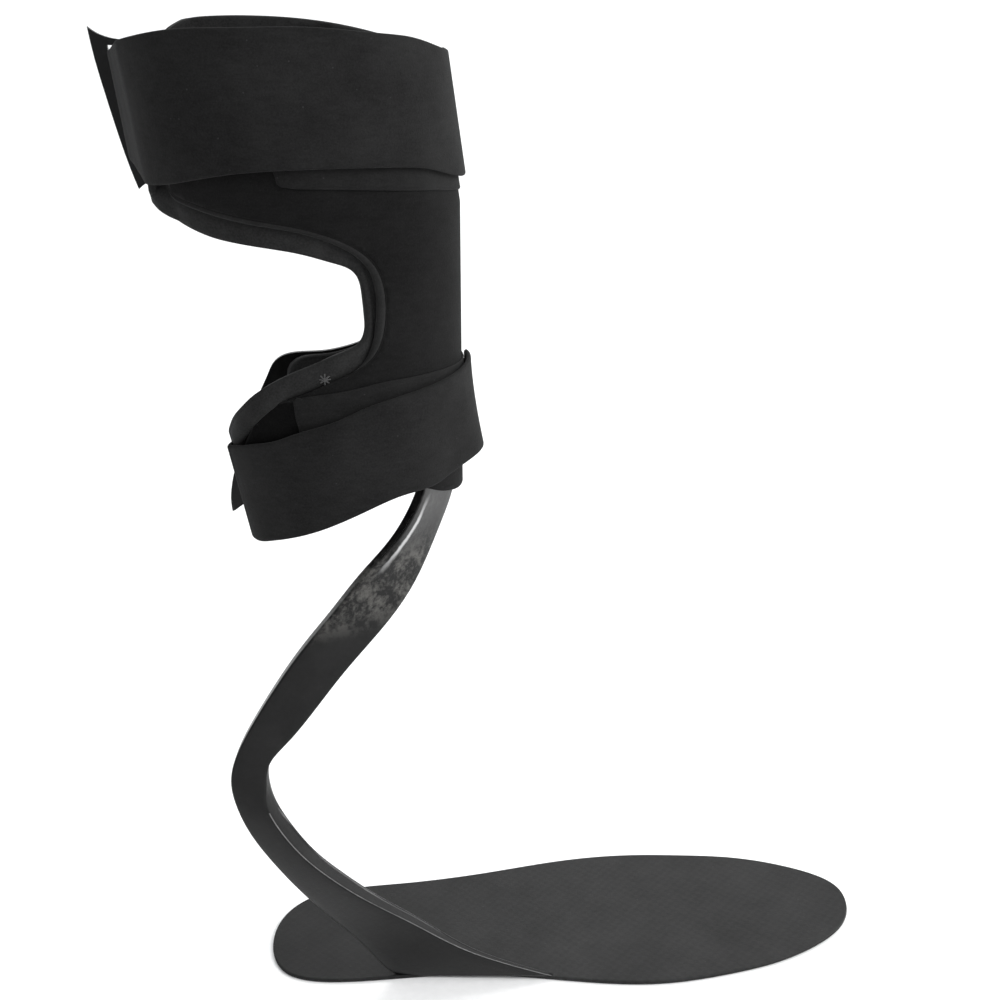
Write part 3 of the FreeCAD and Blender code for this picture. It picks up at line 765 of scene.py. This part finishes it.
# Above these angles and below these levels the cover gets a darker fabric, painted shade for the
# shadow of the lower strap.
PAINTED_SHADE_ZONES = ((106, 258), (60, 247.5))
PIPING_LEVELS = [268, 277, 284, 300, 312, 320]
PIPING_HALVES = [0, 1.3, 1.8, 1.7, 1.2, 0.95]    # half width of the ridge at those levels
PIPING_HIGH, PIPING_SINK, PIPING_INSET = 1.25, 0.75, 1.75
COVER_RIM = (0.5, 0.42)    # half width and half height of the cover's rolled rim
NO_RIDGE = 0.05      # what is left of the ridge away from the cut-out


def make_cover():
    lateral_line = np.vstack([side_line(LATERAL_WING, True, LATERAL_END - 1), CUT_LINE])
    rim = wing_field(lateral_line, SOFT_MEDIAL_LINE)
    field = both(rim, between(LOWER_EDGE, TOP_EDGE))
    flat, faces, loops = trimmed(field, CUFF_SPAN, CUFF_RISE, GRID)
    build = Build()
    thick_sheet(build, flat, faces, loops, LAYER_GAP, COVER_T)
    # Faces in those zones take the darker fabric, which is painted shade.
    for k, face in enumerate(faces):
        s, z = flat[face].mean(0)
        angle = angle_of(np.array([s]), np.array([z]))[0]
        if any(angle > start and z < level for start, level in PAINTED_SHADE_ZONES):
            build.marks[k] = 2

    def piping(s, z):
        """Half width of the ridge round the lateral cut-out, 0 away from it."""
        near = soft_step(5, 2, distance_to(CUT_LINE, s, z))
        in_front = soft_step(-62, -52, cuff(angle_of(s, z), z, 0)[..., 0])
        return np.interp(z, PIPING_LEVELS, PIPING_HALVES) * near * in_front

    for loop in loops:
        bead(build, flat, loop, COVER_T / 2, *COVER_RIM, flat_inset(0.5))
        bead(build, flat, loop,
             lambda s, z: COVER_T / 2 - PIPING_SINK * np.minimum(piping(s, z), 1),
             lambda s, z: NO_RIDGE + piping(s, z),
             lambda s, z: NO_RIDGE + PIPING_HIGH * np.minimum(piping(s, z), 1),
             inset=lambda s, z: -0.3 - PIPING_INSET * piping(s, z), mark=1)
    obj = build.object("shell_skin", COVER_FABRIC, EDGE_BINDING, PAINTED_SHADE_FABRIC)
    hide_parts("shell_cover")
    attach(obj, "shin")


# ---- strut ----
STRUT = [
    ((39, -28.5, 227), (52, -3, 220), (-2, 3, 0)),
    ((38.3, -31.5, 220), (50.8, -8, 213), (-3, 3.5, 0)),
    ((29.3, -35, 204), (44.3, -14, 197.5), (-2.5, 4.5, 0)),
    ((15, -39, 189.5), (32.8, -24, 177), (-1.5, 5, 0)),
    ((1.8, -42, 175), (17.9, -33, 161), (-0.5, 5.5, 0)),
    ((-10.9, -43.5, 160), (4.2, -39, 147.5), (0, 6, 0)),
    ((-27, -44.5, 136.5), (-14.5, -42.5, 125), (0, 7, -1)),
    ((-36.2, -45, 119.5), (-24, -43.5, 114), (0, 8, -2)),
    ((-39, -45, 108), (-25.4, -45, 106), (1, 8, -3)),
    ((-37.6, -44, 96), (-26, -46, 99), (4, 7, -3.5)),
    ((-33.1, -42, 82), (-22.7, -46, 89), (6, 6, -3.5)),
    ((-24.6, -39.5, 65.5), (-13.9, -45, 74), (6, 6, -2.5)),
    ((-14.1, -37, 49), (-1.9, -44, 60.5), (5.5, 6, -1.5)),
    ((-2.1, -34, 33), (13, -42, 47), (5, 5.5, -1.5)),
    ((9, -32.5, 19), (32, -40, 32.5), (4, 4.5, -1)),
    ((17, -31.5, 7), (53, -39.5, 18), (2.5, 3.5, -1)),
    ((24, -30.5, 0.8), (88, -38.5, 2), (1, 2.5, -0.5)),
]


def rounded_section(corners, radius, arc=4, flat=6):
    """Points round a four-cornered section with rounded corners, evenly divided sides."""
    out = []
    for i in range(4):
        here, before, after = corners[i], corners[i - 1], corners[(i + 1) % 4]
        to_before, to_after = before - here, after - here
        b, a = np.linalg.norm(to_before), np.linalg.norm(to_after)
        r = min(radius, 0.45 * b, 0.45 * a)
        start, end = here + to_before * r / b, here + to_after * r / a
        for t in np.linspace(0, 1, arc + 1):
            out.append((1 - t) ** 2 * start + 2 * t * (1 - t) * here + t ** 2 * end)
        next_r = min(radius, 0.45 * a, 0.45 * np.linalg.norm(corners[(i + 2) % 4] - after))
        stop = after - to_after * next_r / a
        for t in np.arange(1, flat) / flat:
            out.append(end + (stop - end) * t)
    return np.array(out)


STRUT_RIM = (13, 19)    # the section's points on the narrow side that faces forward and up
STRUT_ROWS, CORNER_R, CROWN = 170, 1.1, 0.5
EDGE_HIGHLIGHT_FROM = 0.55    # the painted highlight along the front edge starts at this share of the strut's length


def make_strut():
    stations = np.array([[r, f, np.add(f, i), np.add(r, i)] for r, f, i in STRUT], float)
    count = STRUT_ROWS
    rails = even_line(smooth_line(stations.reshape(-1, 12), 8.0), count).reshape(count, 4, 3)
    sections = np.array([rounded_section(rail, CORNER_R) for rail in rails])
    for rail, section in zip(rails, sections):
        wide_way = rail[1] - rail[0]
        thick_way = rail[2] - rail[1]
        outward = -thick_way / np.linalg.norm(thick_way)
        across = (section - rail[0]) @ wide_way / (wide_way @ wide_way)
        depth = (section - rail[0]) @ outward
        facing = np.clip(1 + depth / np.linalg.norm(thick_way), 0, 1)
        bulge = 4 * np.clip(across, 0, 1) * (1 - np.clip(across, 0, 1)) * facing
        section += outward * (CROWN * bulge)[:, None]
    sides = sections.shape[1]
    points = list(sections.reshape(-1, 3))
    faces = grid_faces(count, sides, False, True)
    marks = [1 if STRUT_RIM[0] <= face[0] % sides < STRUT_RIM[1] else 0 for face in faces]
    # Faces on the corner into the front edge, past that share, take the painted edge highlight.
    for number, face in enumerate(faces):
        if face[0] % sides == STRUT_RIM[0] - 1 and face[0] // sides > EDGE_HIGHLIGHT_FROM * count:
            marks[number] = 2
    for end in (0, count - 1):
        marks += [0] * sides
        points.append(sections[end].mean(0))
        hub = len(points) - 1
        faces += [(end * sides + j, end * sides + (j + 1) % sides, hub) for j in range(sides)]
    along = np.concatenate([[0], np.cumsum(np.linalg.norm(
        np.diff(rails.mean(1), axis=0), axis=1))]) * MM
    round_it = np.concatenate([np.zeros((count, 1)), np.cumsum(np.linalg.norm(
        np.diff(sections, axis=1), axis=2), axis=1)], 1) * MM
    uv = [(round_it[i, j], along[i]) for i in range(count) for j in range(sides)]
    uv += [(0, along[0]), (0, along[-1])]
    materials = [STRUT_CARBON, STRUT_EDGE, PAINTED_EDGE_HIGHLIGHT]
    obj = new_object("carbon_strut", points, faces, materials, uv=uv, marks=marks)
    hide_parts("strut_base", "strut_spring", "strut_neck")
    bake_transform(obj)


# ---- footplate ----
TOE_X, HEEL_X, PLATE_T, TOE_BREAK_X, TOE_SPRING_R = 229.0, -31.0, 1.6, 155.0, 1700.0
PLATE_OUTLINE = [
    (-31, -4), (-26, -22), (-12, -30), (14, -31.8), (45, -31.8), (77, -36), (105, -42),
    (135, -45.5), (166, -42), (190, -36), (213, -24.5), (225, -12), (229, 2.5),
    (226, 14), (213, 26), (188, 38), (160, 43.5), (132, 46), (100, 44),
    (65, 38), (30, 34), (5, 32.5), (-15, 27), (-27, 14),
]
RIM_POINTS, SPINE_Y = 300, 0.5
RIM_ROUND = 0.6      # the rim's round reaches inward by this share of its radius
SPINE_ROOM = 25.0    # the mesh's spine ends this far inside the plate's ends
SPINE_SHARES = [0.03, 0.07, 0.13, 0.2, 0.3, 0.42, 0.55, 0.7, 0.85, 1.0]


def plate_lift(x):
    run = np.maximum(0, x - TOE_BREAK_X)
    return TOE_SPRING_R - np.sqrt(TOE_SPRING_R ** 2 - run ** 2)


def make_plate():
    wrapped = PLATE_OUTLINE[-3:] + PLATE_OUTLINE + PLATE_OUTLINE[:3]
    line = smooth_line(wrapped, 2.0)
    start = np.argmin(np.linalg.norm(line - np.array(PLATE_OUTLINE[0]), axis=1)[:len(line) // 2])
    stop = len(line) // 2 + np.argmin(
        np.linalg.norm(line - np.array(PLATE_OUTLINE[0]), axis=1)[len(line) // 2:])
    rim = even_line(line[start:stop], RIM_POINTS, closed=True)
    inward = np.roll(rim, -1, axis=0) - np.roll(rim, 1, axis=0)
    inward = np.stack([-inward[:, 1], inward[:, 0]], -1)
    inward /= np.linalg.norm(inward, axis=1)[:, None]
    round_r = PLATE_T / 2
    rows = []
    for turn in np.radians([-90, -45, 0, 45, 90]):
        inset = round_r * (1 - math.cos(turn)) * RIM_ROUND
        rows.append((rim + inward * inset, round_r + round_r * math.sin(turn)))
    spine_x = np.clip(rim[:, 0], HEEL_X + SPINE_ROOM, TOE_X - SPINE_ROOM)
    spine = np.stack([spine_x, np.full(len(rim), SPINE_Y)], -1)
    top = [(rim + (spine - rim) * share, PLATE_T) for share in SPINE_SHARES]
    bottom = [(rim + (spine - rim) * share, 0.0) for share in SPINE_SHARES[::-1]]
    rows = bottom + rows + top
    points = []
    for flat, height in rows:
        points.append(np.column_stack([flat, height + plate_lift(flat[:, 0])]))
    points = np.array(points)
    faces = grid_faces(len(rows), len(rim), False, True)
    uv = points.reshape(-1, 3)[:, :2] * MM
    obj = new_object("foot_sole_plate", points.reshape(-1, 3), faces, [PLATE_CARBON], uv=uv)
    mend(obj.data, 0.02)
    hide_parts("footplate", "forefoot_plate")
    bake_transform(obj)


# ---- straps ----
# A strap's rounded long edge: mm from it, and the share of the full thickness there.
STRAP_EDGE = ((0.0, 0.0), (0.12, 0.5), (0.45, 0.85), (1.0, 1.0), (2.2, 1.0))
EDGE_ROOM = 1.5      # a strap's edges stand this far inside the ends of its slot
WING_REACH = 14.0    # how far a strap runs straight in from its slot
TAIL_EASE = (0.3, 0.6, 0.85)    # how the tail's edges turn from the slot's ends to their path
SLOT_TURN = [(3.0, 0.0), (0.6, -0.4), (0.0, -2.5)]    # bend into the slot, x and y off its edge
# The lower strap's lower edge stands off the leg by this much, round this angle.
LOWER_FLARE, FLARE_ANGLE, FLARE_SPAN, FLARE_Z = 5.0, 8.0, 34.0, 235.0


def strap_body(build, low, high, normal, lay):
    """A closed strap between two long edges, where lay moves each row onto the cuff."""
    width = np.linalg.norm(high - low, axis=1)
    places = [(inset / width, share) for inset, share in STRAP_EDGE]
    places += [(np.full(len(low), v), 1.0) for v in np.linspace(0, 1, 12)[1:-1]]
    places += [(1 - inset / width, share) for inset, share in STRAP_EDGE[::-1]]
    rows = [(lay(v, low + (high - low) * v[:, None]), share) for v, share in places]
    loop = [middle + normal * STRAP_T / 2 * share for middle, share in rows]
    loop += [middle - normal * STRAP_T / 2 * share for middle, share in rows[-2:0:-1]]
    loop = np.array(loop)
    build.add(loop, grid_faces(len(loop), len(low), True, False))
    for end in (0, len(low) - 1):
        build.add(loop[:, end], [list(range(len(loop)))])


def strap_lines(low_edge, high_edge, slot, leaves_at, tail_angles, tail_drop):
    """Low and high points of one strap, from its sewn end round the back to its free end."""
    middle_off = (STRAP_IN + STRAP_OUT) / 2
    tail_off = COVER_T + TAIL_CLEAR + STRAP_T / 2
    (top_x, top_z), (low_x, low_z) = slot
    sides = []
    flap_angles = np.arange(HINGE_ANGLE, STRAP_END_ANGLE - 0.1, -2.0)
    ends = ((low_edge, low_x, low_z + EDGE_ROOM), (high_edge, top_x, top_z - EDGE_ROOM))
    for (edge, slot_x, z), leaves in zip(ends, leaves_at):
        oval = np.linspace(leaves, HINGE_ANGLE, 6)[:-1]

        def on_edge(angles, off):
            angles = np.asarray(angles, float)
            heights = np.full(len(angles), float(edge[0][1]))
            for _ in range(6):
                heights = edge_height(edge, cuff(angles, heights, off)[:, 0])
            return cuff(angles, heights, off)
        tail = on_edge(tail_angles, tail_off)
        wing_y = float(cuff(SOFT_END, z, tail_off)[1])
        tail[:, 2] -= tail_drop
        for i, share in enumerate(TAIL_EASE):
            tail[i, 2] = z + (tail[i, 2] - z) * share
        back = on_edge(oval, middle_off)
        inside_wing = np.array([slot_x, wing_y - WING_REACH, z])
        crossing = [inside_wing + (back[0] - inside_wing) * share for share in CROSSING]
        turn = [(slot_x + x, wing_y + y, z) for x, y in SLOT_TURN]
        route = list(tail[::-1]) + turn + [inside_wing] + crossing + list(back)
        route.append(on_edge([HINGE_ANGLE], middle_off)[0])
        sides.append((np.array(route), on_edge(flap_angles[1:], middle_off)))
    return sides, flap_angles


ROUTE_ROWS, EASE_ROWS, LEG_X = 190, 8, 5.0
FOLD_WAY, BEFORE_FOLD, PAST_FOLD = (0.6, -0.8, 0.0), 1.5, 5.0


def make_strap(place, low_edge, high_edge, slot, leaves_at, tail_angles, tail_drop, flare):
    sides, flap_angles = strap_lines(low_edge, high_edge, slot, leaves_at, tail_angles, tail_drop)
    (low_route, low_flap), (high_route, high_flap) = sides
    both_lines = even_line(smooth_line(np.hstack([low_route, high_route]), 2.0), ROUTE_ROWS)
    low_line, high_line = both_lines[:, :3], both_lines[:, 3:]
    low = np.vstack([low_line, low_flap])
    high = np.vstack([high_line, high_flap])
    fold = ROUTE_ROWS - 1
    angle = flap_angles[1:]
    share = flare * soft_step(0, 1, 1 - np.abs(angle - FLARE_ANGLE) / FLARE_SPAN)
    lift = (cuff(angle, FLARE_Z, 1) - cuff(angle, FLARE_Z, 0)) * share[:, None]
    low[fold + 1:] += lift
    middle = (low + high) / 2
    along = np.gradient(middle, axis=0)
    normal = np.cross(along, high - low)
    normal /= np.linalg.norm(normal, axis=1)[:, None]
    check = fold + 20
    if normal[check] @ (middle[check] - np.array([LEG_X, 0, middle[check][2]])) < 0:
        normal = -normal

    def follow(v, straight):
        """Rows of the closed part lie on the cuff between the two edges."""
        made = np.array(straight)
        closed = cuff(angle, straight[fold + 1:, 2], (STRAP_IN + STRAP_OUT) / 2)
        made[fold + 1:] = closed + lift * ((1 - v[fold + 1:]) ** 1.5)[:, None]
        for k in range(EASE_ROWS):
            share = 1 - k / EASE_ROWS
            made[fold - k] = straight[fold - k] + (made[fold + 1] - straight[fold + 1]) * share
        return made

    build = Build()
    strap_body(build, low, high, normal, follow)
    obj = build.object(place + "_strap", STRAP_FABRIC)
    mend(obj.data, 0.01)
    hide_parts(place + "_strap_anchor", place + "_strap_flap")
    axis = (low[fold] - high[fold]) / np.linalg.norm(low[fold] - high[fold])
    across = np.array(FOLD_WAY)
    across -= axis * (across @ axis)
    across /= np.linalg.norm(across)
    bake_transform(obj)
    length = float(np.linalg.norm(np.diff(middle, axis=0), axis=1).sum())


def make_band(name, node, field, s_range, z_range, inner, outer, material, body="shin"):
    """A thin sheet on the cuff, between two distances from it."""
    flat, faces, loops = trimmed(field, s_range, z_range, GRID)
    build = Build()
    thick_sheet(build, flat, faces, loops, inner, outer)
    for loop in loops:
        bead(build, flat, loop, (inner + outer) / 2, 0.45, (outer - inner) / 2 + 0.03,
             flat_inset(0.4))
    obj = build.object(name, material)
    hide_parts(node)
    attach(obj, body)


make_plate()
make_strut()
make_liner()
make_cover()
make_band("upper_band", "upper_landing_band",
          both(turned(98, -70), between(UPPER_BAND_LOW, UPPER_HIGH, 0, -6)),
          (-75, 100), (315, 386), COVER_T + LAYER_GAP, BAND_OUT, BAND_FABRIC)
make_band("lower_band", "lower_landing_band",
          both(turned(108, -70), between(LOWER_BAND_LOW, LOWER_BAND_HIGH)),
          (-75, 110), (225, 270), COVER_T + LAYER_GAP, BAND_OUT, BAND_FABRIC)
for strap, low, high in (("upper", UPPER_LOW, UPPER_HIGH), ("lower", LOWER_LOW, LOWER_HIGH)):
    make_band(strap + "_hooks", strap + "_hook_tab",
              both(turned(46, STRAP_END_ANGLE + 1), between(low, high, 2, -2)),
              (-20, 60), (200, 390), HOOK_IN, STRAP_IN - LAYER_GAP, HOOK_TAPE, strap + "_flap")
make_strap("upper", UPPER_LOW, UPPER_HIGH, UPPER_SLOT, UPPER_LEAVES, UPPER_TAIL,
           UPPER_TAIL_DROP, 0.0)
make_strap("lower", LOWER_LOW, LOWER_HIGH, LOWER_SLOT, LOWER_LEAVES, LOWER_TAIL,
           0.0, LOWER_FLARE)

# Two CAD nodes show as they are.
for node, material in (("anterior_shell", SHELL_CARBON), ("liner_hook_patches", HOOK_TAPE)):
    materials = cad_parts[node].data.materials
    materials.clear()
    materials.append(material)


TACKS = ((93, 266.8), (151, 237))    # angle round the cuff and level
STAR_TURNS = (0, 38, 90, 137)
STITCH_REACH, STITCH_SAG, STITCH_R, STITCH_LIFT = 2.1, 0.75, 0.26, 0.35


def make_tacks():
    """Two star-shaped thread tacks through the liner's flange."""
    build = Build()
    for angle, z in TACKS:
        flat = np.array([[float(run_of(np.array([angle]), np.array([z]))[0]), z]])
        lift = float(flange_lift(flat[:, 0], flat[:, 1])[0])
        off = LINER_OUT + lift + STITCH_LIFT
        centre = cuff(angle, z, off)
        normal = cuff(angle, z, off + 1) - centre
        normal /= np.linalg.norm(normal)
        level = np.cross([0, 0, 1.0], normal)
        level /= np.linalg.norm(level)
        upward = np.cross(normal, level)
        for turn in np.radians(STAR_TURNS):
            along = level * math.cos(turn) + upward * math.sin(turn)
            across = np.cross(normal, along)
            rows = []
            for t in np.linspace(-1, 1, 11):
                middle = centre + along * STITCH_REACH * t - normal * STITCH_SAG * t * t
                around = (np.arange(8) * 2 * np.pi / 8)[:, None]
                rows.append(middle + STITCH_R * (np.cos(around) * across
                                                 + np.sin(around) * normal))
            build.add(np.array(rows), grid_faces(11, 8, False, True))
    obj = build.object("tack_threads", THREAD)
    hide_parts("bar_tacks")
    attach(obj, "shin")


make_tacks()


# ---- floor, light and camera ----
def make_stage():
    mesh = bpy.data.meshes.new("floor")
    size, depth, rise, bend, under = 4.0, 1.2, 3.0, 0.6, 0.0002
    profile_line = [(-size, 0.0), (depth, 0.0)]
    for turn in np.radians(np.arange(10, 91, 10)):
        profile_line.append((depth + bend * math.sin(turn), bend * (1 - math.cos(turn))))
    profile_line.append((depth + bend, rise))
    points = [(x, y, z - under) for y, z in profile_line for x in (-size, size)]
    faces = [(2 * i, 2 * i + 1, 2 * i + 3, 2 * i + 2) for i in range(len(profile_line) - 1)]
    mesh.from_pydata(points, [], faces)
    mesh.polygons.foreach_set("use_smooth", [True] * len(mesh.polygons))
    floor = put_in("floor", mesh)
    s = Shader("floor_paper", 0.6, Specular_IOR_Level=0.3)
    grain = s.noise(s.where(), 300, 2.0)
    s.link(s.ramp(grain, (0.3, grey(0.86)), (0.7, grey(0.9))), "Base Color")
    mesh.materials.append(s.material)


def point_at(obj, aim):
    obj.rotation_euler = aim.to_track_quat("-Z", "Y").to_euler()


def area_light(name, place, target, size, power):
    light = bpy.data.lights.new(name, "AREA")
    light.shape, light.size, light.size_y, light.energy = "RECTANGLE", size[0], size[1], power
    obj = put_in(name, light)
    obj.location = place
    point_at(obj, Vector(target) - Vector(place))


make_stage()
area_light("key", (1.35, -0.75, 1.25), (0.05, 0, 0.2), (0.9, 0.9), 30)
area_light("side", (1.15, 0.35, 0.35), (0.0, 0, 0.2), (0.25, 1.1), 9)
area_light("fill", (0.1, -1.6, 1.5), (0.05, 0, 0.15), (1.2, 1.2), 6)
area_light("back", (0.2, 1.3, 1.6), (0.05, 0, 0.2), (1.4, 0.8), 14)
world = bpy.data.worlds.new("studio")
world.use_nodes = True
sky = world.node_tree.nodes["Background"]
socket(sky, "Color", (0.97, 0.985, 1.0, 1))
socket(sky, "Strength", 0.68)
bpy.context.scene.world = world
bpy.context.scene.view_settings.view_transform = "Standard"

camera_data = bpy.data.cameras.new("camera")
camera_data.lens, camera_data.sensor_width = 50.0, 36.0
camera = put_in("camera", camera_data)
camera.location = (0.0199, -0.5161, 0.3964)
point_at(camera, Vector((0.0899, 0.9332, -0.3480)))
bpy.context.scene.camera = camera
